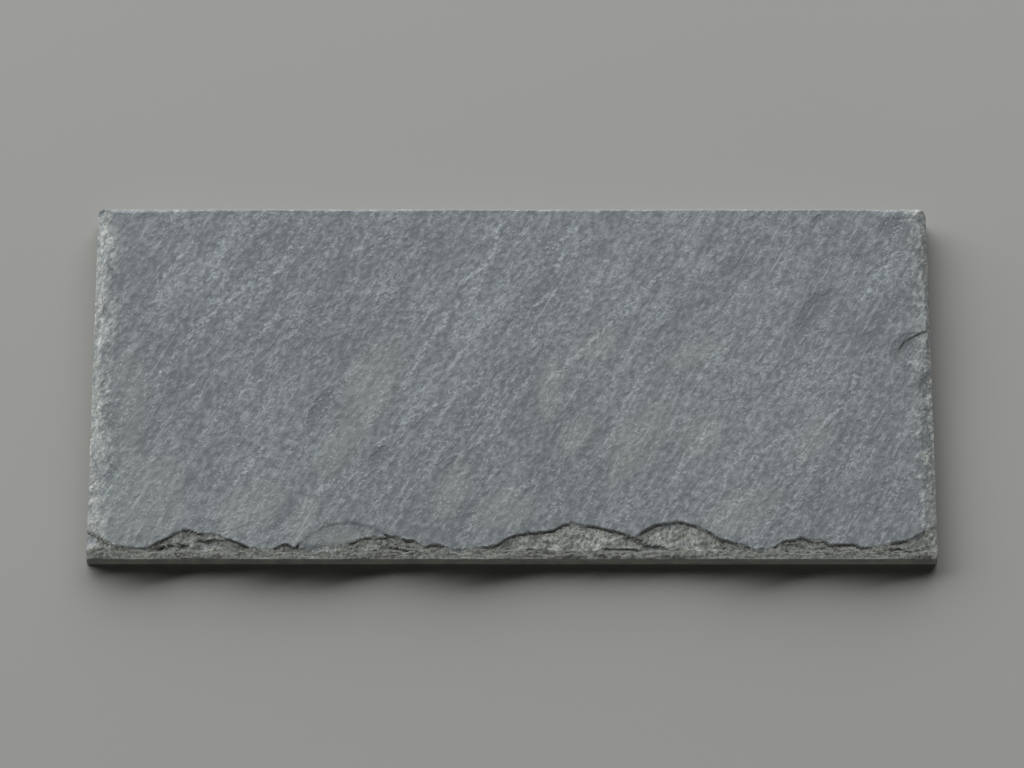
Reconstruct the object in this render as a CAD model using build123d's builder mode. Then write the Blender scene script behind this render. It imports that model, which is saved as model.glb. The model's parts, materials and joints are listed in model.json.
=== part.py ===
# A riven slate paving slab: gently waved cleft face, flaked edges over sawn bands, flat underside.
# All sizes are in millimetres. The slab lies flat, face up, centred on its underside.
import os
from math import cos, pi, radians, sin

from build123d import *

os.makedirs("parts", exist_ok=True)

# Size of the slab.
slab_length = 600.0  # left to right
slab_width = 300.0  # front to back
slab_thickness = 20.0  # underside to the high points of the riven face

# Slow waves of the riven face, lying across the grain of the stone.
grain_angle = radians(53.0)  # turn of the grain from the long side
wave_depth = 0.9  # from the high points to the hollows
wave_spacing = 190.0  # from crest to crest across the grain
swell_spacing = 420.0  # from crest to crest along the grain
wave_stations = 11  # sections and points that carry the waves

# Height of the broken part of each edge. What is left below it is the sawn band.
front_break = 12.0
right_break = 5.0
back_break = 3.0
left_break = 5.5
saw_set_back = 1.0  # the front band lies this far behind the broken lip
arris_ease = 0.5  # small flat along the arris of the underside

# Corners rounded in plan.
back_right_round = 6.0
front_right_round = 2.5

# Break line of each edge, counterclockwise seen from above. Each row is a place along the edge, in
# hundredths of its length, the depth of the break line there and the depth of the lip below it.
front_line = [
    (-0.7, 21, 5), (0.4, 17, 4), (1.7, 13.2, 3.2), (2.4, 8.4, 2.2), (4, 4.1, 1.4), (5.2, 3.1, 1),
    (6.2, 1.6, 0.6), (6.9, 0.6, 0.3), (7.7, 5, 1.2), (8.5, 8.2, 1.6), (9.5, 11.8, 2.2),
    (10.7, 15.5, 3), (12, 18.8, 3.6), (12.6, 16.4, 3.2), (13.7, 15.4, 3), (15.5, 13.4, 2.6),
    (16.7, 9.6, 2.2), (17.5, 7.5, 1.6), (18.3, 5.1, 1.2), (19.7, 2.3, 0.8), (20.8, 1.5, 0.6),
    (22.3, 2.7, 0.8), (23.4, 6.1, 1.6), (24.2, 3.4, 1.2), (25.2, 1.2, 0.5), (26.7, 0.6, 0.3),
    (28.3, 0.5, 0.2), (29.2, 1.2, 0.4), (30, 3.9, 1.2), (30.8, 8.6, 2), (31.7, 10.6, 2.4),
    (32.5, 12.7, 2.8), (33.3, 13.8, 3), (34.5, 13.3, 3), (35.8, 12.8, 2.8), (36.8, 11.6, 2.4),
    (37.5, 9.4, 2), (38.5, 8.8, 2), (39.2, 4.6, 1.4), (39.8, 3.3, 1), (40.7, 5.6, 1.4),
    (41.5, 5.3, 1.3), (42.2, 3.3, 1), (43, 0.9, 0.4), (43.7, 0.5, 0.2), (44.5, 1, 0.4),
    (45.2, 2.4, 0.8), (46.3, 3.3, 1), (47.5, 3.9, 1.2), (48.3, 5.7, 1.5), (49.2, 9.9, 2.2),
    (50.2, 13.4, 2.8), (51.2, 14.9, 3), (52.5, 15.8, 3.2), (54.2, 17.3, 3.4), (55.2, 19.4, 3.4),
    (55.8, 21.9, 3.6), (56.7, 23.6, 3.6), (57.5, 23.7, 3.6), (58.5, 22.3, 3.4),
    (59.5, 21.5, 3.2), (60.5, 19.8, 3), (61.5, 18.3, 2.8), (62.5, 16.1, 2.6), (63.7, 13.1, 2.4),
    (64.5, 11.4, 2.2), (65.2, 15.4, 2.4), (66, 19.1, 2.6), (66.8, 22.1, 3), (68, 23.7, 3.2),
    (68.8, 24.1, 3.4), (69.4, 25.2, 3.4), (70.5, 23.5, 3.2), (71.5, 21.6, 3), (72.3, 18.5, 2.6),
    (73.3, 15.5, 2.2), (74.2, 10.6, 1.8), (75.2, 8.8, 1.6), (75.8, 7, 1.4), (77.5, 3.9, 1),
    (78.4, 0.7, 0.3), (79.5, 0.6, 0.3), (80.8, 2.7, 0.8), (81.3, 5.1, 1.2), (82.2, 8.5, 1.8),
    (83.5, 10, 2), (84.2, 11.4, 2.2), (84.8, 9.4, 2), (86.5, 8.8, 2), (87.2, 5.5, 1.6),
    (88, 5.7, 1.5), (89.2, 5.4, 1.4), (90, 5.7, 1.4), (90.8, 3.4, 1), (91.7, 2.7, 0.8),
    (92.8, 3.3, 1), (94.2, 5.7, 1.4), (95.5, 8.2, 1.8), (96.7, 10, 2), (97.5, 13.4, 2.4),
    (98.5, 17.4, 2.8), (99.5, 22, 3.2), (101, 30, 4),
]
right_line = [
    (-1.3, 13, 6.5), (6.5, 10.2, 4), (17.3, 10, 5), (25, 12.6, 5), (31.7, 10.6, 5.3),
    (43, 14.2, 5), (53, 7, 3.5), (58, 5.5, 2.5), (62.6, 3.4, 1.7), (70, 3.2, 1.5),
    (77.3, 3.6, 1.8), (84.7, 8, 3), (90, 4.6, 2.3), (95, 6, 2.5), (102, 8, 4),
]
back_line = [
    (-0.7, 8, 4), (4, 5, 2), (8, 3, 1.5), (19, 3.5, 1.6), (30, 2.5, 1.2), (44, 3.7, 1.6),
    (56, 2.6, 1.3), (69, 3.3, 1.5), (81, 2.6, 1.3), (91, 4, 1.6), (101, 4, 2),
]
left_line = [
    (-1.3, 5, 2.5), (11.7, 11.5, 6), (16.7, 7.6, 3.8), (22, 10.8, 5), (25.4, 8.8, 4.4),
    (33.3, 16.6, 7), (40.3, 9.2, 4.6), (46, 8.4, 4), (52, 9.8, 4.9), (56, 11.2, 5),
    (59.2, 9.6, 4.8), (64.7, 18.6, 7.5), (71, 13.2, 6.6), (77.4, 20.6, 8), (90, 15.8, 7.9),
    (95, 15.4, 7), (102, 17.5, 8.8),
]

# Thin flakes lifted off the face beside an edge: the places of the start, of the deepest point
# and of the end along the edge, the reach in from the edge, and the fall to the bed at the edge.
front_sheet = (24.2, 28.7, 38.0, 22.6, 1.9)
right_sheet = (52.3, 57.3, 64.0, 23.5, 1.8)

# Shape of a broken edge.
front_wall = 1.0  # steep wall under the break line of the front
side_wall = 0.3  # the same for the other edges
wall_lean = 0.975  # depth at the foot of a wall over depth at its top
lip_share = 0.6  # height of the lip above the foot, as a share of the height of the break
sheet_wall = 0.55  # steep wall of a thin flake, as a share of its fall

overrun = 4.0  # how far the cutting shapes stand clear of the stone


def riven_height(x, y):
    """Height of the riven face over the underside at one place in plan."""
    along = x * cos(grain_angle) + y * sin(grain_angle)
    across = y * cos(grain_angle) - x * sin(grain_angle)
    waves = cos(2 * pi * across / wave_spacing) + cos(2 * pi * along / swell_spacing)
    return slab_thickness - wave_depth * (2 - waves) / 4


def spread(half):
    """Evenly spaced places from one side of the stone to the other, a little beyond both."""
    reach = half + overrun
    return [reach * (2 * step / (wave_stations - 1) - 1) for step in range(wave_stations)]


def riven_section(x):
    """Section through the waste lying over the riven face."""
    places = spread(slab_width / 2)
    waste_top = slab_thickness + overrun
    with BuildSketch(Plane.YZ.offset(x)) as section:
        with BuildLine():
            face_line = Spline(*[(y, riven_height(x, y)) for y in places])
            Polyline(face_line @ 1, (places[-1], waste_top), (places[0], waste_top), face_line @ 0)
        make_face()
    return section.sketch.face()


def edge_plane(x, y, x_dir):
    """Plane at a corner of the underside: its X runs along the edge, its Y into the stone."""
    return Plane(origin=(x, y, 0), x_dir=x_dir, z_dir=(0, 0, 1))


def sheet_outline(plane, length, sheet, share):
    """Outline of a thin flake at one level."""
    start, peak, end = [length * place / 100 for place in sheet[:3]]
    reach = sheet[3]
    with BuildSketch(plane) as outline:
        with BuildLine():
            Spline((start, 0), (peak, share * reach), (end, 0))
            Polyline((end, 0), (end, -overrun), (start, -overrun), (start, 0))
        make_face()
    return outline.sketch.face()


def lift_sheet(edge, length, sheet):
    """Lift one thin flake: a low wall at its outline, then a bed falling gently to the edge."""
    fall = sheet[-1]
    levels = [
        (slab_thickness - fall, 0.0),
        (slab_thickness - sheet_wall * fall, wall_lean),
        (slab_thickness + overrun, 1.0),
    ]
    outlines = [sheet_outline(edge.offset(level), length, sheet, share) for level, share in levels]
    loft(outlines, ruled=True, mode=Mode.SUBTRACT)


def break_outline(plane, length, line, face_part, lip_part):
    """Outline of the waste at one level, its depth shared between the break line and the lip."""
    points = [(length * place / 100, face_part * depth + lip_part * lip) for place, depth, lip in line]
    (start, _), (end, _) = points[0], points[-1]
    with BuildSketch(plane) as outline:
        with BuildLine():
            add(Edge.make_spline(points, parameters=[place for place, depth in points]))
            Polyline(points[-1], (end, -overrun), (start, -overrun), points[0])
        make_face()
    return outline.sketch.face()


def break_edge(edge, length, height, wall, line):
    """Break one edge: a steep rise from the foot to the lip, a bed, then a wall to the break line."""
    foot = slab_thickness - height
    levels = [
        (foot, 0.0, 0.0),
        (foot + lip_share * height, 0.0, 1.0),
        (slab_thickness - wall, wall_lean, 0.0),
        (slab_thickness + overrun, 1.0, 0.0),
    ]
    outlines = [
        break_outline(edge.offset(level), length, line, face_part, lip_part)
        for level, face_part, lip_part in levels
    ]
    loft(outlines, ruled=True, mode=Mode.SUBTRACT)


front_edge = edge_plane(-slab_length / 2, -slab_width / 2, (1, 0, 0))
right_edge = edge_plane(slab_length / 2, -slab_width / 2, (0, 1, 0))
back_edge = edge_plane(slab_length / 2, slab_width / 2, (-1, 0, 0))
left_edge = edge_plane(-slab_length / 2, slab_width / 2, (0, -1, 0))

with BuildPart() as slate_slab:
    # Blank with two corners rounded in plan.
    with BuildSketch():
        Rectangle(slab_length, slab_width)
        fillet(vertices().sort_by(Axis((0, 0, 0), (1, 1, 0)))[-1], radius=back_right_round)
        fillet(vertices().sort_by(Axis((0, 0, 0), (1, -1, 0)))[-1], radius=front_right_round)
    extrude(amount=slab_thickness)

    # Riven face.
    loft([riven_section(x) for x in spread(slab_length / 2)], mode=Mode.SUBTRACT)

    # Thin flakes lifted off the face.
    lift_sheet(front_edge, slab_length, front_sheet)
    lift_sheet(right_edge, slab_width, right_sheet)

    # Broken edges.
    break_edge(front_edge, slab_length, front_break, front_wall, front_line)
    break_edge(right_edge, slab_width, right_break, side_wall, right_line)
    break_edge(back_edge, slab_length, back_break, side_wall, back_line)
    break_edge(left_edge, slab_width, left_break, side_wall, left_line)

    # Sawn band of the front, a little behind the broken lip.
    with BuildSketch():
        with Locations((0, -slab_width / 2)):
            Rectangle(slab_length + 2 * overrun, 2 * saw_set_back)
    extrude(amount=slab_thickness - front_break, mode=Mode.SUBTRACT)

    # Eased arris round the underside.
    chamfer(faces().sort_by(Axis.Z)[0].edges(), length=arris_ease)

slate_slab.part.label = "slate_slab"
export_step(slate_slab.part, "parts/slate_slab.step")
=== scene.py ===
"""A riven slate paving slab: its cleft face, flaked edges and sawn bands, lying on a pale floor."""

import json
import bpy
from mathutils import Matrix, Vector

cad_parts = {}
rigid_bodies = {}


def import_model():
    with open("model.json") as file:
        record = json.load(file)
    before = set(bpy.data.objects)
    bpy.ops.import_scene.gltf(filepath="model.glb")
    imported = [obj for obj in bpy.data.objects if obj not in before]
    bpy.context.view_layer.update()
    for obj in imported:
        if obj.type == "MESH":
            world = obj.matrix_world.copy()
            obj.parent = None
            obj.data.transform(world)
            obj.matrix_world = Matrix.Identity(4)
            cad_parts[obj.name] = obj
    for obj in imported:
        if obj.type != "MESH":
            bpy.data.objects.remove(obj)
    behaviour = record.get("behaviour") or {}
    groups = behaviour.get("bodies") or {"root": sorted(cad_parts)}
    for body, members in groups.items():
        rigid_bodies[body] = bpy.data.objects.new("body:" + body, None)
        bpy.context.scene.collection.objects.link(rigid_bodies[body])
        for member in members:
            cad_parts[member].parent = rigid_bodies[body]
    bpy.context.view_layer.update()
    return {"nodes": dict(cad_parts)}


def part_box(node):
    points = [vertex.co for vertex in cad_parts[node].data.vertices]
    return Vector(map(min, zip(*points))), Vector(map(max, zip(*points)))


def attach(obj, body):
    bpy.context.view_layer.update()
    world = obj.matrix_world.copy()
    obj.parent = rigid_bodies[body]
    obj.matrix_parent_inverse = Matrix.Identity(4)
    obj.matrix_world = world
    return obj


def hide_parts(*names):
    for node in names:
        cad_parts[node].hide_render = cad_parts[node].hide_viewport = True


bl_info = {
    "name": "Riven Slate Paving Slab",
    "version": (1, 0, 0),
    "blender": (4, 5, 0),
    "location": "View3D > Sidebar > Slate",
    "description": "Dresses a plain slate slab with its riven face and broken edges, and lights it",
    "category": "Object",
}

from math import cos, radians, sin
from types import SimpleNamespace

import bmesh
import bpy
import numpy as np
from mathutils import Vector

MM = 0.001
NODE = "slate_slab"

HAIR = 0.02 * MM  # the new surface lies this far inside the slab's outline
SWELL_DEPTH = 0.4 * MM  # long swells of the riven face
FRONT_DROP = 0.8 * MM  # the broken front lies this much lower than on the plain slab
CREVICE_DEPTH = 0.3 * MM  # groove under the break line
RIDGE_REACH = 5 * MM  # from the line of a pale ridge to its outside
# Stone this much over its surroundings is painted pale, partly as wear and partly as painted
# highlight; stone as far below them is painted dark as painted shade.
PROUD = 0.35 * MM  # stone that stands this much over its surroundings is worn pale
ARRIS_EASE = 0.5 * MM  # small flat along the arris of the underside
PATTERN_START = (0.37, -0.21, 0.05)  # where the patterns of the pressed reliefs start

# Reliefs of the broken stone, in the order in which they are pressed in: depth, and length and
# width of a lump, in millimetres; way; vertex group; level that stays in place; detail. The first
# two knock back the foot of the front. The others follow the grain.
KNOCKED_OFF = (
    ("knocks", 5.0, (14, 10), "Y", "foot", 0.3, 2),
    ("chips", 1.8, (5, 3.5), "Y", "foot", 0.4, 2),
)
TORN_OFF = (
    ("ragged_x", 2.2, (6, 6), "X", "torn", 0.5, 2),
    ("ragged_y", 2.2, (6, 6), "Y", "torn", 0.5, 2),
    ("chunks", 2.6, (24, 13), "Z", "bed", 0.45, 1),
)

# Marks of this slab, in millimetres from its front left corner.

# Second lines of fracture in the broken front: their points, and the step down to the front.
STEP_LINES = (
    (((-8, 28), (3, 17.5), (9, 12.5), (13, 8.5), (18, 4.5)), 1.3),
    (((16, 4.5), (28, 3.2), (40, 2.5), (47, 2)), 0.9),
    (((43, 2.5), (55, 6.5), (66, 8.5), (75, 9.5)), 1.5),
    (((74, 10.5), (84, 10.8), (100, 10.4), (107, 7.2), (116, 3.0)), 1.5),
    (((203, 9.5), (213, 7.0), (221, 4.5), (232, 2.0)), 1.3),
    (((299, 2.0), (312, 3.5), (334, 2.6), (352, 3.0)), 0.7),
    (((360, 3.5), (372, 5.0), (382, 4.5), (392, 3.0)), 1.1),
    (((376, 13.4), (390, 10.8), (398, 8.5), (405, 6.0), (412, 2.5)), 1.3),
    (((556, 3.0), (570, 4.2), (584, 3.0)), 0.9),
)

# Spans of the front, from the left, where the crevice under the break line is all but closed.
CLOSED_SPANS = (
    (8, 45), (80, 108), (113, 126), (216, 224), (230, 239), (250, 258), (268, 281), (339, 354),
    (379, 392), (429, 438), (458, 466), (486, 492), (510, 520), (552, 568), (591, 604),
)

# Pale ridges of the riven face, where the ends of layers are bruised.
RIDGES = (
    ((50, 155), (72, 190), (92, 214), (112, 232)),
    ((103, 57), (115, 74), (124, 92)),
    ((78, 20), (88, 36)),
    ((127, 240), (135, 247), (143, 268)),
    ((45, 233), (62, 258)),
    ((118, 183), (133, 210)),
    ((106, 132), (122, 150)),
    ((148, 28), (158, 44), (174, 60)),
    ((186, 258), (198, 276)),
    ((262, 230), (272, 241), (285, 252), (291, 284)),
    ((328, 262), (346, 280)),
    ((330, 240), (337, 258)),
    ((312, 208), (332, 226)),
    ((325, 145), (340, 160), (350, 172), (372, 198), (388, 216)),
    ((205, 90), (222, 108), (245, 126)),
    ((262, 82), (290, 102)),
    ((232, 168), (252, 198), (262, 215)),
    ((395, 224), (410, 244)),
    ((446, 24), (462, 44), (476, 54)),
    ((470, 76), (487, 92), (497, 104)),
    ((510, 92), (532, 120), (548, 150)),
    ((553, 218), (566, 246)),
    ((300, 44), (318, 66)),
    ((416, 62), (424, 84), (444, 108)),
    ((66, 222), (84, 238), (92, 262)),
)

# Paler, warmer patches of the riven face: centre, half length, half width and turn from the long
# side in degrees.
PATCHES = (
    (200, 146, 42, 17, 65),
    (178, 86, 30, 12, 62),
    (152, 28, 22, 8, 65),
    (28, 118, 60, 15, 88),
    (40, 42, 40, 26, 60),
    (118, 38, 26, 17, 30),
    (256, 52, 34, 13, 80),
    (296, 34, 26, 15, 20),
    (360, 177, 16, 9, 40),
    (327, 138, 26, 8, 85),
    (346, 98, 20, 11, 50),
    (388, 92, 40, 15, 62),
    (464, 34, 30, 15, 35),
    (515, 98, 18, 8, 65),
    (432, 98, 18, 12, 55),
    (430, 170, 20, 8, 30),
    (177, 13, 24, 9, 0),
)

# Shallow hollows where a thin flake has come away: centre, half length, half width and turn.
HOLLOWS = (
    (164, 121, 19, 6, 68),
    (206, 80, 11, 6, 60),
    (582, 176, 15, 8, 58),
    (578, 282, 13, 9, 20),
    (521, 286, 7, 4, 60),
    (517, 207, 22, 9, 58),
    (17, 74, 8, 2.2, 115),
    (8, 207, 5, 2.4, 100),
    (9, 141, 7, 2.6, 80),
    (12, 92, 6, 2.2, 110),
)

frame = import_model()
low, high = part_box(NODE)


def linear(colour):
    """Turns an sRGB hex colour into linear red, green, blue and alpha."""
    shares = [int(colour[i : i + 2], 16) / 255 for i in (1, 3, 5)]
    return [s / 12.92 if s <= 0.04045 else ((s + 0.055) / 1.055) ** 2.4 for s in shares] + [1.0]


def colour_setting(name, description, colour):
    """A colour that the sidebar shows, from an sRGB hex value."""
    return bpy.props.FloatVectorProperty(
        name=name, description=description, subtype="COLOR", size=4, min=0, max=1,
        default=linear(colour),
    )


def length_setting(name, description, millimetres):
    """A length that the sidebar shows, kept in metres."""
    return bpy.props.FloatProperty(
        name=name, description=description, unit="LENGTH", subtype="DISTANCE", min=0, max=1,
        precision=5, default=millimetres * MM,
    )


class SlateSlabSettings(bpy.types.PropertyGroup):
    """Sizes and colours of the slab"""

    grain_turn: bpy.props.FloatProperty(
        name="Grain turn", description="Turn of the grain from the long side", subtype="ANGLE",
        default=radians(64),
    )
    cell: length_setting("Cell", "Side of a cell of the face before the edges are refined", 2.1)
    ripple_depth: length_setting("Ripple depth", "Depth of the ripples of the riven face", 0.43)
    hollow_depth: length_setting("Hollow depth", "Depth of the hollows of the riven face", 0.3)
    break_depth: length_setting("Break depth", "Roughness of the broken edges", 1.5)
    layer_height: length_setting("Layer height", "Thickness of the layers in a broken edge", 1.8)
    saw_set_back: length_setting("Saw set-back", "From the front lip back to the sawn band", 1.0)
    band_height: length_setting("Band height", "Height of the front sawn band", 8.5)
    back_round: length_setting("Back corner", "Radius of the back right corner in plan", 6.0)
    front_round: length_setting("Front corner", "Radius of the front right corner in plan", 2.5)
    face_dark: colour_setting("Face, dark", "Darker hollows of the riven face", "#636b6e")
    face_light: colour_setting("Face, light", "Lighter rises of the riven face", "#949b9f")
    face_olive: colour_setting("Face, olive", "Warmer patches of the riven face", "#8f978e")
    fleck: colour_setting("Flecks", "Pale flecks of the riven face", "#b2babc")
    broken_pale: colour_setting("Break, pale", "Pale crushed stone of the broken edges", "#cdd0ca")
    broken_dark: colour_setting("Break, dark", "Darker stone of the broken edges", "#8b8e88")
    # Painted shade in the crevices of the broken edges and on the stone just below them.
    crevice_shade: colour_setting("Crevices", "Painted shade in the crevices of the broken edges", "#2e302c")
    sawn: colour_setting("Sawn stone", "Sawn bands and underside", "#5a5c53")


class SlateStageSettings(bpy.types.PropertyGroup):
    """Floor, light and camera"""

    floor: colour_setting("Floor", "Plain floor", "#a6a6a3")
    key: bpy.props.FloatProperty(
        name="Key light", description="Strength of the large soft lamp", unit="POWER",
        default=2850.0,
    )
    front: bpy.props.FloatProperty(
        name="Front light", description="Strength of the low lamp in front", unit="POWER",
        default=58.0,
    )
    fill: bpy.props.FloatProperty(
        name="Fill light", description="Strength of the even light from all round", default=0.005
    )
    elevation: bpy.props.FloatProperty(
        name="View elevation", description="Height of the line of sight over the floor",
        subtype="ANGLE", default=radians(54.8),
    )
    distance: bpy.props.FloatProperty(
        name="View distance", description="From the camera to the slab", unit="LENGTH",
        default=5.871,
    )
    lens: bpy.props.FloatProperty(
        name="Lens", description="Focal length of the camera", unit="CAMERA", default=288.5
    )


def deselect_all():
    """Leaves nothing selected, so that an operator acts only on what is picked next."""
    if bpy.context.mode != "OBJECT":
        bpy.ops.object.mode_set(mode="OBJECT")
    for thing in bpy.context.scene.objects:
        thing.select_set(False)


def pick(piece):
    """Makes one object the active and only selected one."""
    deselect_all()
    piece.select_set(True)
    bpy.context.view_layer.objects.active = piece


def places(piece):
    """The places of a piece's points, one row each."""
    values = np.empty(len(piece.data.vertices) * 3)
    piece.data.vertices.foreach_get("co", values)
    return values.reshape(-1, 3)


def put_places(piece, values):
    """Moves a piece's points to these places."""
    piece.data.vertices.foreach_set("co", values.ravel())
    piece.data.update()


def normals(piece):
    """The directions that a piece's points face, one row each."""
    values = np.empty(len(piece.data.vertices) * 3)
    piece.data.vertices.foreach_get("normal", values)
    return values.reshape(-1, 3)


def smoothstep(start, end, values):
    """Rises smoothly from 0 at start to 1 at end."""
    share = np.clip((values - start) / (end - start), 0, 1)
    return share * share * (3 - 2 * share)


def settle(piece):
    """Lays the sheet down on the solid slab, straight down or up, and applies it."""
    wrap = piece.modifiers.new("settle", "SHRINKWRAP")
    wrap.target = frame["nodes"][NODE]
    wrap.wrap_method = "PROJECT"
    wrap.use_project_z = True
    wrap.use_negative_direction = True
    wrap.use_positive_direction = True
    bpy.ops.object.modifier_apply(modifier=wrap.name)


def refine(piece, tilt):
    """Splits the faces that tilt more than an angle, and lays the new points on the slab."""
    bpy.ops.object.mode_set(mode="EDIT")
    bpy.ops.mesh.select_mode(type="FACE")
    bpy.ops.mesh.select_all(action="DESELECT")
    sheet = bmesh.from_edit_mesh(piece.data)
    for face in sheet.faces:
        face.select = face.normal.z < cos(tilt)
    sheet.select_flush(True)
    bmesh.update_edit_mesh(piece.data)
    bpy.ops.mesh.select_more()
    bpy.ops.mesh.subdivide(number_cuts=1)
    bpy.ops.object.mode_set(mode="OBJECT")
    settle(piece)


def split_walls(piece):
    """Splits the tall edges of steep walls, so that the walls can be rough as well."""
    tall = 1.6 * MM
    for cuts in (2, 1):
        bpy.ops.object.mode_set(mode="EDIT")
        bpy.ops.mesh.select_mode(type="EDGE")
        bpy.ops.mesh.select_all(action="DESELECT")
        sheet = bmesh.from_edit_mesh(piece.data)
        for edge in sheet.edges:
            start, end = (point.co for point in edge.verts)
            edge.select = abs(start.z - end.z) > tall
        bmesh.update_edit_mesh(piece.data)
        bpy.ops.mesh.subdivide(number_cuts=cuts)
        bpy.ops.object.mode_set(mode="OBJECT")


def round_corner(points, centre, radius, side):
    """Draws the square corner of the sheet in to a round one."""
    offsets = (points[:, :2] - centre) * side
    inside = (offsets[:, 0] > 0) & (offsets[:, 1] > 0)
    corner = offsets[inside]
    shrink = corner.max(axis=1) / np.hypot(corner[:, 0], corner[:, 1])
    points[inside, :2] = centre + corner * shrink[:, None] * side


def spread_out(piece, weights, rounds):
    """Lets weights flow to the neighbouring points, round after round."""
    ends = np.empty(len(piece.data.edges) * 2, dtype=int)
    piece.data.edges.foreach_get("vertices", ends)
    first, second = ends.reshape(-1, 2).T
    count = np.bincount(ends, minlength=len(weights))
    for _ in range(rounds):
        total = np.bincount(first, weights[second], len(weights))
        total += np.bincount(second, weights[first], len(weights))
        weights = (weights + total / count) / 2
    return weights


def highest_near(points, values, reach):
    """The highest value within a reach of each point, seen from above."""
    square = 0.4 * MM
    steps = round(reach / square)
    spots = tuple((np.floor((points[:, :2] - (low.x, low.y)) / square).astype(int) + steps).T)
    plan = np.zeros((spots[0].max() + steps + 1, spots[1].max() + steps + 1))
    np.maximum.at(plan, spots, values)
    highest = plan.copy()
    for x in range(-steps, steps + 1):
        for y in range(-steps, steps + 1):
            if x * x + y * y <= steps * steps:
                highest = np.maximum(highest, np.roll(plan, (x, y), axis=(0, 1)))
    return highest[spots]


def weigh(piece, name, weights):
    """Keeps weights as a vertex group, in steps of a twentieth."""
    group = piece.vertex_groups.new(name=name)
    levels = np.round(weights * 20).astype(int)
    for level in range(1, 21):
        group.add(np.flatnonzero(levels == level).tolist(), level / 20, "REPLACE")


def near_lines(points, lines, reach):
    """How near the points are to a set of lines: 1 on a line, 0 from the reach outwards."""
    gap = np.full(len(points), reach)
    for line in lines:
        for start, end in zip(line[:-1], line[1:]):
            start, run = np.array(start) * MM, (np.array(end) - start) * MM
            share = np.clip((points - start) @ run / (run @ run), 0, 1)
            away = points - start - share[:, None] * run
            gap = np.minimum(gap, np.hypot(away[:, 0], away[:, 1]))
    return 1 - gap / reach


def in_patches(points, patches):
    """How deep the points lie in a set of oval patches, and how far to their left side.

    The depth is 1 in the middle and 0.5 on the outline. The other goes from 0 to 1.
    """
    depth, left = np.zeros(len(points)), np.zeros(len(points))
    for x, y, half_length, half_width, turn in patches:
        offset = points - np.array((x, y)) * MM
        along = offset @ (cos(radians(turn)), sin(radians(turn))) / (half_length * MM)
        across = offset @ (-sin(radians(turn)), cos(radians(turn))) / (half_width * MM)
        inside = 1 - np.hypot(along, across) / 2
        left = np.where(inside > depth, (across + 1) / 2, left)
        depth = np.maximum(depth, inside)
    return depth, np.clip(left, 0, 1)


def keep_values(piece, name, values):
    """Keeps one value for each point of a piece, for its material to read."""
    piece.data.attributes.new(name, "FLOAT", "POINT").data.foreach_set("value", values)


def press(piece, name, depth, lump, turn=0.0, way="Z", group="", level=1.0, detail=2):
    """Presses a cloudy relief into a piece. lump is the length and width of one lump of it."""
    relief = bpy.data.textures.new(name, "CLOUDS")
    relief.noise_scale = 1.0
    relief.noise_depth = detail
    bpy.ops.object.empty_add(location=PATTERN_START, rotation=(0, 0, turn))
    guide = bpy.context.object
    guide.scale = (lump[0] * MM, lump[1] * MM, lump[1] * MM)
    bpy.context.view_layer.update()
    pick(piece)
    change = piece.modifiers.new(name, "DISPLACE")
    change.texture = relief
    change.texture_coords = "OBJECT"
    change.texture_coords_object = guide
    change.direction = way
    change.strength = depth
    change.mid_level = level
    change.vertex_group = group
    bpy.ops.object.modifier_apply(modifier=name)
    bpy.data.objects.remove(guide)


def layered(heights, thickness, riser, tread):
    """Breaks slopes into layers: flat treads joined by short risers."""
    steps = heights / thickness
    whole = np.floor(steps)
    part = steps - whole
    rise = smoothstep(1 - riser, 1, part)
    return (whole + tread * part + (1 - tread) * rise) * thickness


def add_node(tree, kind, inputs=None, output=0, **settings):
    """Adds a node with its settings, fills its inputs with values or links, and gives an output."""
    node = tree.nodes.new(kind)
    for name, value in settings.items():
        setattr(node, name, value)
    for socket, value in (inputs or {}).items():
        if isinstance(value, bpy.types.NodeSocket):
            tree.links.new(value, node.inputs[socket])
        else:
            node.inputs[socket].default_value = value
    return node.outputs[output] if len(node.outputs) else None


def new_material(name):
    """A new material with only its output, and the node tree to fill."""
    material = bpy.data.materials.new(name)
    material.use_nodes = True
    material.node_tree.nodes.clear()
    return material, material.node_tree


def stone_patterns(tree, place, table):
    """The patterns of a stone by name, each from about -0.5 to 0.5, for a table of their sizes.

    A size is in millimetres, along the grain, across it and upwards.
    """
    patterns = {}
    for name, size, detail, roughness in table:
        scaled = add_node(tree, "ShaderNodeMapping", {0: place, 3: [1 / (s * MM) for s in size]})
        noise = add_node(
            tree, "ShaderNodeTexNoise",
            {"Vector": scaled, "Scale": 1.0, "Detail": detail, "Roughness": roughness},
        )
        patterns[name] = add_node(tree, "ShaderNodeMath", {0: noise, 1: 0.5}, operation="SUBTRACT")
    return patterns


def summed(tree, *parts):
    """The sum of several values, each times its weight."""
    total = 0.0
    for value, weight in parts:
        total = add_node(
            tree, "ShaderNodeMath", {0: value, 1: weight, 2: total}, operation="MULTIPLY_ADD"
        )
    return total


def share_of(tree, start, end, *parts, most=1.0):
    """A smooth share that is 0 where a weighted sum is at its start, and the most at its end."""
    return add_node(
        tree, "ShaderNodeMapRange",
        {"Value": summed(tree, *parts), "From Min": start, "From Max": end, "To Max": most},
        interpolation_type="SMOOTHSTEP",
    )


def stone_shader(tree, colour, height, roughness):
    """Stone of one colour and roughness, with a relief in millimetres."""
    bump = add_node(tree, "ShaderNodeBump", {"Strength": 1.0, "Distance": MM, "Height": height})
    stone = add_node(
        tree, "ShaderNodeBsdfPrincipled",
        {"Base Color": colour, "Roughness": roughness, "IOR": 1.5, "Normal": bump},
    )
    add_node(tree, "ShaderNodeOutputMaterial", {"Surface": stone})


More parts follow.
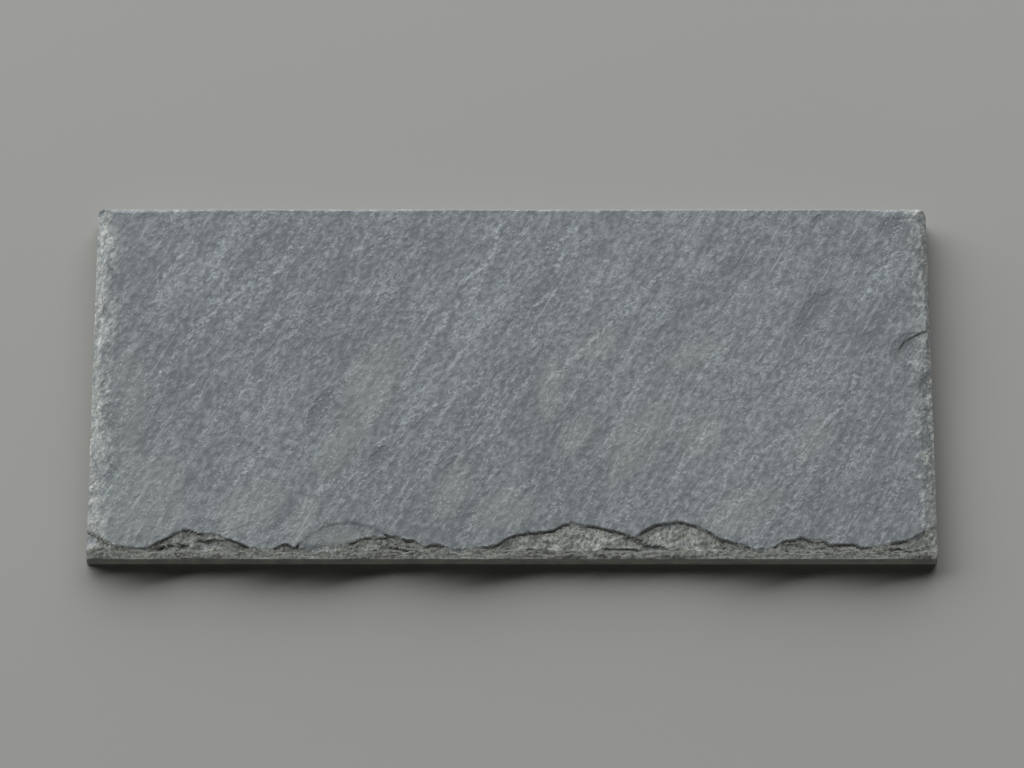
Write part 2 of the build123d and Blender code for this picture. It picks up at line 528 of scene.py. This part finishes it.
def riven_slate(settings):
    """Blue-grey slate, split along its cleavage and broken at its edges.

    A split face is matt and faintly silky. It is dimpled, thin layers end on it in ragged steps,
    faint threads follow the grain, and bruised ridges show as pale granular streaks. Where the edge
    is broken across the layers the stone is crushed, so it is paler and greyer. Its proud edges are
    painted pale, partly as wear and partly as painted highlight, and its crevices and pits are
    painted dark as painted shade.
    """
    material, tree = new_material("riven_slate")
    place = add_node(tree, "ShaderNodeTexCoord", output="Object")
    grain = add_node(tree, "ShaderNodeMapping", {0: place, 2: (0, 0, -settings.grain_turn)})
    mark = {
        name: add_node(tree, "ShaderNodeAttribute", output="Fac", attribute_name=name)
        for name in ("broken", "crevice_shade", "wear_and_painted_light", "ridge", "patch", "hollow", "hollow_left")
    }

    # Slate is grained much finer than a millimetre. Its grains and grit are drawn 2 to 3 mm wide,
    # which is as coarse as they need to be to show.
    slate = stone_patterns(tree, grain, (
        ("dimples", (6.1, 4, 4), 2.3, 0.56),
        ("grains", (2.8, 2.1, 2.1), 2, 0.6),
        ("streaks", (60, 9, 9), 3, 0.5),
        ("threads", (42, 3, 3), 3, 0.6),
        ("sheets", (46, 20, 20), 3.5, 0.55),
        ("clouds", (130, 50, 50), 4, 0.6),
        ("strata", (26, 12, 1.6), 3, 0.55),
        ("splinters", (7, 2.6, 2.6), 3, 0.6),
        ("grit", (2.2, 2.2, 2.2), 2, 0.55),
    ))
    dimples, grains, grit = slate["dimples"], slate["grains"], slate["grit"]
    streaks, clouds, splinters = slate["streaks"], slate["clouds"], slate["splinters"]

    # Hollows have a ragged outline, and are deep at their left side. They are painted darker, most
    # at their left side, as painted shade.
    hollow = share_of(tree, 0.42, 0.6, (mark["hollow"], 1), (dimples, 0.7), (streaks, 0.6))
    hollow_left = share_of(tree, 0.0, 0.6, (mark["hollow_left"], 1))
    hollow = add_node(tree, "ShaderNodeMath", {0: hollow, 1: hollow_left}, operation="MULTIPLY")

    # Thin layers of the face, each of its own tone, that end in ragged steps.
    level = summed(tree, (slate["sheets"], 14))
    layer = add_node(tree, "ShaderNodeMath", {0: level}, operation="FLOOR")
    part = add_node(tree, "ShaderNodeMath", {0: level}, operation="FRACT")
    rise = share_of(tree, 0.78, 1.0, (part, 1))
    layer_tone = add_node(
        tree, "ShaderNodeTexWhiteNoise", {"W": layer}, output="Value", noise_dimensions="1D"
    )

    # Ridges, threads and single grains are pale and stand a little proud.
    pale = share_of(tree, 0.08, 0.22, (slate["threads"], 1), (dimples, 0.25), most=0.5)
    bruised = share_of(tree, -0.12, 0.1, (grains, 1), most=0.95)
    ridge = share_of(tree, 0.5, 0.9, (mark["ridge"], 1), (dimples, 1.6))
    ridge = add_node(tree, "ShaderNodeMath", {0: ridge, 1: bruised}, operation="MULTIPLY")
    speckle = share_of(tree, 0.04, 0.22, (grains, 1), (streaks, 0.5), most=0.75)
    for other in (ridge, speckle):
        pale = add_node(tree, "ShaderNodeMath", {0: pale, 1: other}, operation="MAXIMUM")

    # Tone of the face, with its warmer patches and pale flecks, and with its hollows painted darker
    # as painted shade.
    tone = share_of(
        tree, -0.22, 0.5,
        (dimples, 1.0), (layer_tone, 0.1), (clouds, 0.36), (streaks, 0.26), (hollow, -0.6),
    )
    face = add_node(
        tree, "ShaderNodeMix",
        {0: tone, 6: list(settings.face_dark), 7: list(settings.face_light)},
        output=2, data_type="RGBA",
    )
    warm = share_of(
        tree, 0.35, 0.75, (mark["patch"], 1), (clouds, 0.8), (streaks, 0.6), most=0.33
    )
    fleck = summed(tree, (pale, 0.6))

    # The broken stone shows its layers, splinters of 7 by 3 mm and grit. Its proud edges are
    # painted pale, partly as wear and partly as painted highlight; its pits are painted dark as
    # painted shade, and the seams between its layers are dark.
    torn_tone = share_of(tree, -0.16, 0.17, (slate["strata"], 0.5), (splinters, 0.8), (grit, 0.7))
    torn = add_node(
        tree, "ShaderNodeMix",
        {0: torn_tone, 6: list(settings.broken_dark), 7: list(settings.broken_pale)},
        output=2, data_type="RGBA",
    )
    share = share_of(tree, 0.15, 0.85, (mark["broken"], 1), (dimples, 1.2))
    # Proud stone is painted pale, partly as wear and partly as painted highlight.
    rim = share_of(tree, 0.2, 0.8, (mark["wear_and_painted_light"], 1), (grit, 0.8), most=0.75)
    rim = add_node(tree, "ShaderNodeMath", {0: rim, 1: share}, operation="MULTIPLY")
    crossing = add_node(tree, "ShaderNodeMath", {0: slate["strata"]}, operation="ABSOLUTE")
    seam = share_of(tree, 0.035, 0.0, (crossing, 1))
    # Stone lower than its surroundings is painted dark as painted shade, together with the dark
    # seams.
    pit = share_of(tree, 0.2, 0.9, (mark["wear_and_painted_light"], -1), (grit, -0.8), (seam, 0.5))
    pit = add_node(tree, "ShaderNodeMath", {0: pit, 1: share}, operation="MULTIPLY")
    # The crevices and the stone just below them are painted dark as painted shade, and so are the
    # pits.
    dark = share_of(
        tree, 0.25, 0.85, (mark["crevice_shade"], 1), (dimples, 0.8), (splinters, 0.6), most=0.8
    )
    dark = add_node(
        tree, "ShaderNodeMath", {0: dark, 1: summed(tree, (pit, 0.64))}, operation="MAXIMUM"
    )
    colour = face
    for amount, paint in (
        (warm, list(settings.face_olive)), (fleck, list(settings.fleck)), (share, torn),
        (rim, list(settings.broken_pale)), (dark, list(settings.crevice_shade)),
    ):
        colour = add_node(
            tree, "ShaderNodeMix", {0: amount, 6: colour, 7: paint}, output=2, data_type="RGBA"
        )

    # Relief in millimetres: layers of 0.03 mm on the face, and rough stone where it is broken.
    relief = summed(
        tree, (dimples, 0.58), (layer, 0.03), (rise, 0.03), (pale, 0.12),
        (hollow, -settings.hollow_depth / MM),
    )
    torn_relief = summed(
        tree, (slate["strata"], 0.6), (splinters, 1.5), (grit, 0.7), (seam, -0.25)
    )
    relief = add_node(tree, "ShaderNodeMix", {0: share, 2: relief, 3: torn_relief})
    stone_shader(tree, colour, relief, 0.72)
    return material


def sawn_slate(settings):
    """Slate cut by a diamond saw: flat and dull, with faint level lines from the blade.

    The lines are drawn about 1 mm apart, coarser than they are, so that they show. The top of the
    band, in the corner under the lip, is painted a little darker as painted shade.
    """
    material, tree = new_material("sawn_slate")
    place = add_node(tree, "ShaderNodeTexCoord", output="Object")
    slate = stone_patterns(tree, place, (
        ("saw_lines", (150, 150, 1.2), 2, 0.5),
        ("clouds", (9, 9, 9), 4, 0.5),
    ))
    saw_lines = slate["saw_lines"]
    height = add_node(tree, "ShaderNodeSeparateXYZ", {0: place}, output=2)
    # The top 2 mm of the band, under the lip, is painted a little darker as painted shade.
    corner = share_of(tree, -2.0, 0.0, (height, 1 / MM), (1.0, -settings.band_height / MM))
    tone = share_of(
        tree, -0.15, 0.15, (saw_lines, 0.5), (slate["clouds"], 0.5), (corner, -0.14)
    )
    dark, pale = (
        [share * value for value in list(settings.sawn)[:3]] + [1.0] for share in (0.72, 1.22)
    )
    colour = add_node(
        tree, "ShaderNodeMix", {0: tone, 6: dark, 7: pale}, output=2, data_type="RGBA"
    )
    stone_shader(tree, colour, summed(tree, (saw_lines, 0.12)), 0.8)
    return material


def laid_sheet(settings):
    """A fine sheet laid over the slab, with the slab's two round corners."""
    length, width = high.x - low.x - 2 * HAIR, high.y - low.y - 2 * HAIR
    bpy.ops.mesh.primitive_grid_add(
        x_subdivisions=round(length / settings.cell), y_subdivisions=round(width / settings.cell),
        size=1, location=(0, 0, high.z + 5 * MM),
    )
    slab = bpy.context.object
    slab.name = "riven_slate_slab"
    slab.scale = (length, width, 1)
    bpy.ops.object.transform_apply(location=True, rotation=True, scale=True)
    points = places(slab)
    for radius, sign in ((settings.back_round, 1), (settings.front_round, -1)):
        side = np.array([1, sign])
        corner = np.array([length / 2, sign * width / 2])
        round_corner(points, corner - side * radius, radius, side)
    put_places(slab, points)

    # It is refined twice where it turns down over the edges.
    settle(slab)
    refine(slab, radians(9))
    refine(slab, radians(26))
    split_walls(slab)
    return slab


def broken_shares(slab):
    """How broken the stone is at each point, in shares from 0 to 1. Distances are millimetres.

    The stone is broken where it is steep or well below the riven face. The front has a sharp
    break line. Beside the sides and the back the break has no sharp line and is less crushed, so
    it fades into the face there.
    """
    points = places(slab)
    tilt = np.degrees(np.arccos(np.clip(normals(slab)[:, 2], -1, 1)))
    depth = (high.z - points[:, 2]) / MM
    from_left, from_right = (points[:, 0] - low.x) / MM, (high.x - points[:, 0]) / MM
    from_front, from_back = (points[:, 1] - low.y) / MM, (high.y - points[:, 1]) / MM
    sharp = np.maximum(smoothstep(8, 13, tilt), smoothstep(1.4, 2.0, depth))

    # More than a narrow strip, such as the low step round a thin flake.
    wide = highest_near(points, 1 - highest_near(points, 1 - sharp, 1.6 * MM), 3.6 * MM)
    wide = np.maximum(wide, smoothstep(2, 4, depth))

    # The front goes round to the sides on slanting lines.
    at_side = smoothstep(26, 20, from_left) * smoothstep(0, 2, from_front - 19.5 + 0.85 * from_left)
    at_side += (
        smoothstep(24, 18, from_right) * smoothstep(0, 2, from_front - 22 + 0.85 * from_right)
    )
    in_front = smoothstep(40, 30, from_front) * (1 - at_side)

    # The sides are bruised some way in, the back hardly, and the back right corner the most.
    from_side = np.minimum(from_left, from_right)
    at_back = smoothstep(10, 4, from_back) * smoothstep(4, 18, from_side)
    soft = spread_out(slab, np.maximum(smoothstep(5, 18, tilt), smoothstep(1.4, 3.5, depth)), 14)
    soft = np.maximum(0.46 * soft, 0.31 * smoothstep(19, 11, from_left)) * (1 - 0.7 * at_back)
    soft = np.maximum(soft, 0.36 * smoothstep(17, 9, from_right))
    soft = np.maximum(soft, 0.42 * smoothstep(28, 12, np.hypot(from_right, from_back)))

    broken = in_front * sharp * (0.2 + 0.8 * wide) + (1 - in_front) * soft
    inwards = np.minimum(
        np.minimum(points[:, 0] - low.x, high.x - points[:, 0]),
        np.minimum(points[:, 1] - low.y, high.y - points[:, 1]),
    )
    torn = broken * smoothstep(0, 1.2 * MM, inwards)
    return SimpleNamespace(
        sharp=sharp, wide=wide, in_front=in_front, broken=broken, torn=torn,
        bed=torn * smoothstep(0.9, 2.6, depth),
        from_left=from_left, from_front=from_front, from_side=from_side,
    )


def break_front(slab, stone):
    """Drops the broken front below the face, and gives the crevices along its break lines, grooved
    and marked for painted shade.
    """
    points = places(slab)
    crevice_shade = stone.in_front * smoothstep(0.2, 0.7, stone.sharp)
    crevice_shade *= smoothstep(1.5, 3.0, stone.from_front)
    crevice_shade *= smoothstep(0.5, 0.9, highest_near(points, 1 - stone.sharp, 1.1 * MM)) * stone.wide
    for start, end in CLOSED_SPANS:
        inside = np.minimum(stone.from_left - start, end - stone.from_left)
        crevice_shade *= 1 - 0.6 * smoothstep(0, 3, inside)
    step = stone.in_front * smoothstep(0.3, 0.8, stone.sharp)
    step *= smoothstep(12, 15, points[:, 2] / MM)
    points[:, 2] -= FRONT_DROP * step * stone.wide

    # The low step round a thin flake is worn, so it is rounded over a few millimetres.
    low_step = spread_out(slab, stone.in_front * stone.sharp * (1 - stone.wide), 12)
    low_step = smoothstep(0.05, 0.4, low_step) * (1 - stone.wide)
    points[:, 2] += 0.74 * low_step * (spread_out(slab, points[:, 2], 30) - points[:, 2])

    # Second lines of fracture.
    x, y = points[:, 0] - low.x, points[:, 1] - low.y
    for line, drop in STEP_LINES:
        along, across = (np.array(line) * MM).T
        edge = np.interp(x, along, across)
        ends = smoothstep(0, 6 * MM, np.minimum(x - along[0], along[-1] - x))
        below = smoothstep(0.3 * MM, -0.3 * MM, y - edge) * smoothstep(0, 1, y / edge)
        points[:, 2] -= ends * below * drop * MM
        # Each line gets a groove, marked for painted shade.
        groove = min(1, drop / 1.5) * ends * smoothstep(0.7 * MM, 0.15 * MM, abs(y - edge))
        crevice_shade = np.maximum(crevice_shade, groove)
    points[:, 2] -= CREVICE_DEPTH * crevice_shade
    put_places(slab, points)
    # A softer painted shade spreads from the crevices down over the stone below them.
    beside = spread_out(slab, crevice_shade, 24) * smoothstep(0.5, 1, stone.sharp)
    return np.maximum(crevice_shade, 0.9 * beside)


def tear_edges(slab, stone, settings):
    """Makes the broken edges ragged, hackly and layered, and knocks back the foot of the front.

    The shares of the foot come back.
    """
    points = places(slab)
    foot = stone.torn * stone.in_front * smoothstep(17, 13, points[:, 2] / MM)
    foot *= smoothstep(0, 8, stone.from_side)
    weigh(slab, "foot", foot)
    for reliefs, turn in ((KNOCKED_OFF, 0.0), (TORN_OFF, settings.grain_turn)):
        for name, depth, lump, way, group, level, detail in reliefs:
            press(slab, name, depth * MM, lump, turn, way, group, level, detail)
    press(slab, "hackles", settings.break_depth, (10, 6), settings.grain_turn, "Z", "bed", 0.5)
    points = places(slab)
    stepped = layered(points[:, 2], settings.layer_height, 0.3, 0.1)
    points[:, 2] += (0.35 * stone.bed + 0.5 * foot) * (stepped - points[:, 2])
    points[:, 2] = np.clip(points[:, 2], low.z + settings.band_height, high.z)
    points[:, 0] = np.clip(points[:, 0], low.x, high.x)
    points[:, 1] = np.clip(points[:, 1], low.y, high.y)
    put_places(slab, points)
    return foot


def keep_marks(slab, stone, crevice_shade, foot):
    """Keeps what the material reads: the broken stone, the painted shade of its crevices, its worn
    and painted-lit edges, and the marks.

    The stone is more crushed on risers than on treads. Stone that stands proud is painted paler, as
    wear and as painted highlight, and so is the lower lip of the front; where it is lower than its
    surroundings, the value is below 0 and it is painted darker, as painted shade.
    """
    points = places(slab)
    broken = stone.broken * (
        1 - 0.65 * stone.in_front * smoothstep(-0.3, 0.05, normals(slab)[:, 1])
    )
    # Stone that stands proud, or sticks forward at the foot, is painted paler, partly as wear and
    # partly as painted highlight; stone lower than its surroundings is painted darker as painted
    # shade.
    wear_and_painted_light = (points[:, 2] - spread_out(slab, points[:, 2], 12)) / PROUD
    wear_and_painted_light += foot * (spread_out(slab, points[:, 1], 12) - points[:, 1]) / PROUD
    wear_and_painted_light = np.clip(wear_and_painted_light, -1, 1) * stone.torn
    wear_and_painted_light *= smoothstep(2.5, 4.5, (high.z - points[:, 2]) / MM)
    # The lower lip of the front, over the sawn band, is painted pale as a painted highlight.
    wear_and_painted_light = np.maximum(wear_and_painted_light, 0.5 * stone.in_front * smoothstep(11, 9.5, points[:, 2] / MM))
    spots = points[:, :2] - (low.x, low.y)
    patch, _ = in_patches(spots, PATCHES)
    hollow, hollow_left = in_patches(spots, HOLLOWS)
    for name, values in (
        ("broken", broken), ("crevice_shade", crevice_shade), ("wear_and_painted_light", wear_and_painted_light), ("patch", patch),
        ("ridge", near_lines(spots, RIDGES, RIDGE_REACH)),
        ("hollow", hollow), ("hollow_left", hollow_left),
    ):
        keep_values(slab, name, values)


def close_sides(slab, settings):
    """Takes the rim of the sheet down the sawn sides and closes the underside.

    The rim goes down to the band, steps back under the front lip, and goes on to the eased arris.
    """
    band_top = low.z + settings.band_height - 0.1 * MM
    front = low.y + settings.saw_set_back
    bpy.ops.object.mode_set(mode="EDIT")
    bpy.ops.mesh.select_mode(type="EDGE")
    bpy.ops.mesh.select_all(action="DESELECT")
    bpy.ops.mesh.select_non_manifold(
        extend=False, use_wire=False, use_boundary=True, use_multi_face=False,
        use_non_contiguous=False, use_verts=False,
    )
    for level, inset in (
        (band_top, None), (band_top, 0.0), (low.z + ARRIS_EASE, 0.0), (low.z, ARRIS_EASE),
    ):
        bpy.ops.mesh.extrude_edges_move()
        bpy.ops.transform.resize(value=(1, 1, 0), center_override=(0, 0, level))
        rim = bmesh.from_edit_mesh(slab.data)
        for point in rim.verts:
            if point.select and inset is not None:
                point.co.y = min(max(point.co.y, front + inset), high.y - inset)
                point.co.x = min(max(point.co.x, low.x + inset), high.x - inset)
        bmesh.update_edit_mesh(slab.data)
    bpy.ops.mesh.edge_face_add()
    bpy.ops.mesh.select_all(action="SELECT")
    bpy.ops.mesh.remove_doubles(threshold=0.01 * MM)
    bpy.ops.mesh.normals_make_consistent(inside=False)
    bpy.ops.object.mode_set(mode="OBJECT")


class SLATE_OT_dress_slab(bpy.types.Operator):
    """Lay the riven face and the broken edges over the slab, and close its sawn sides"""

    bl_idname = "slate.dress_slab"
    bl_label = "Dress the slab"

    def execute(self, context):
        settings = context.scene.slate_slab
        deselect_all()
        slab = laid_sheet(settings)
        stone = broken_shares(slab)
        weigh(slab, "torn", stone.torn)
        weigh(slab, "bed", stone.bed)

        # Slow ripples and long swells of the riven face, along the grain.
        press(slab, "ripples", settings.ripple_depth, (60, 14), settings.grain_turn)
        press(slab, "swells", SWELL_DEPTH, (40, 30), settings.grain_turn, detail=1)

        crevice_shade = break_front(slab, stone)
        foot = tear_edges(slab, stone, settings)
        keep_marks(slab, stone, crevice_shade, foot)
        close_sides(slab, settings)

        slab.data.materials.append(riven_slate(settings))
        slab.data.materials.append(sawn_slate(settings))
        for face in slab.data.polygons:
            sides = face.center.z < low.z + settings.band_height or abs(face.normal.y) < 0.7
            face.material_index = 1 if face.normal.z < 0.1 and sides else 0
        pick(slab)
        bpy.ops.object.shade_smooth_by_angle(angle=radians(38))
        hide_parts(NODE)
        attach(slab, "root")
        return {"FINISHED"}


class SLATE_OT_set_stage(bpy.types.Operator):
    """Add the floor, the soft light and the camera"""

    bl_idname = "slate.set_stage"
    bl_label = "Set the stage"

    def execute(self, context):
        scene, settings = context.scene, context.scene.slate_stage
        scene.view_settings.view_transform = "Standard"
        deselect_all()

        # Painted floor: dead matt, one even tone.
        bpy.ops.mesh.primitive_plane_add(size=12)
        floor = context.object
        floor.name = "floor"
        material, tree = new_material("painted_floor")
        paint = add_node(
            tree, "ShaderNodeBsdfPrincipled", {"Base Color": list(settings.floor), "Roughness": 0.9}
        )
        add_node(tree, "ShaderNodeOutputMaterial", {"Surface": paint})
        floor.data.materials.append(material)

        # Large soft lamp, low at the back left, a weak one in front, and an even fill.
        for name, toward, distance, size, energy in (
            ("key_lamp", (-0.3, 0.84, 0.42), 9.0, (24.0, 7.2), settings.key),
            ("front_lamp", (0.25, -0.95, 0.035), 4.0, (3.0, 0.22), settings.front),
        ):
            toward = Vector(toward).normalized()
            bpy.ops.object.light_add(type="AREA", location=toward * distance)
            lamp = context.object
            lamp.name = name
            lamp.rotation_euler = toward.to_track_quat("Z", "Y").to_euler()
            lamp.data.energy = energy
            lamp.data.shape = "RECTANGLE"
            lamp.data.size, lamp.data.size_y = size
        scene.world = bpy.data.worlds.new("even_fill")
        scene.world.use_nodes = True
        background = scene.world.node_tree.nodes["Background"]
        background.inputs["Color"].default_value = (1, 1, 1, 1)
        background.inputs["Strength"].default_value = settings.fill

        # Camera at the photograph's viewing angle.
        line = Vector((0, -cos(settings.elevation), sin(settings.elevation)))
        aim = Vector((0, 0, (low.z + high.z) / 2))
        bpy.ops.object.camera_add(location=aim + line * settings.distance)
        camera = context.object
        camera.rotation_euler = line.to_track_quat("Z", "Y").to_euler()
        camera.data.lens = settings.lens
        scene.camera = camera
        return {"FINISHED"}


class SLATE_PT_sidebar(bpy.types.Panel):
    """Sizes and colours of the slab and its stage"""

    bl_label = "Riven slate slab"
    bl_idname = "SLATE_PT_sidebar"
    bl_space_type = "VIEW_3D"
    bl_region_type = "UI"
    bl_category = "Slate"

    def draw(self, context):
        for group, operator in (
            (context.scene.slate_slab, SLATE_OT_dress_slab),
            (context.scene.slate_stage, SLATE_OT_set_stage),
        ):
            box = self.layout.box()
            for name in group.__annotations__:
                box.prop(group, name)
            box.operator(operator.bl_idname)


CLASSES = (
    SlateSlabSettings,
    SlateStageSettings,
    SLATE_OT_dress_slab,
    SLATE_OT_set_stage,
    SLATE_PT_sidebar,
)


def register():
    for item in CLASSES:
        bpy.utils.register_class(item)
    bpy.types.Scene.slate_slab = bpy.props.PointerProperty(type=SlateSlabSettings)
    bpy.types.Scene.slate_stage = bpy.props.PointerProperty(type=SlateStageSettings)


def unregister():
    del bpy.types.Scene.slate_stage
    del bpy.types.Scene.slate_slab
    for item in reversed(CLASSES):
        bpy.utils.unregister_class(item)


def main():
    register()
    bpy.ops.slate.dress_slab()
    bpy.ops.slate.set_stage()


if __name__ == "__main__":
    main()
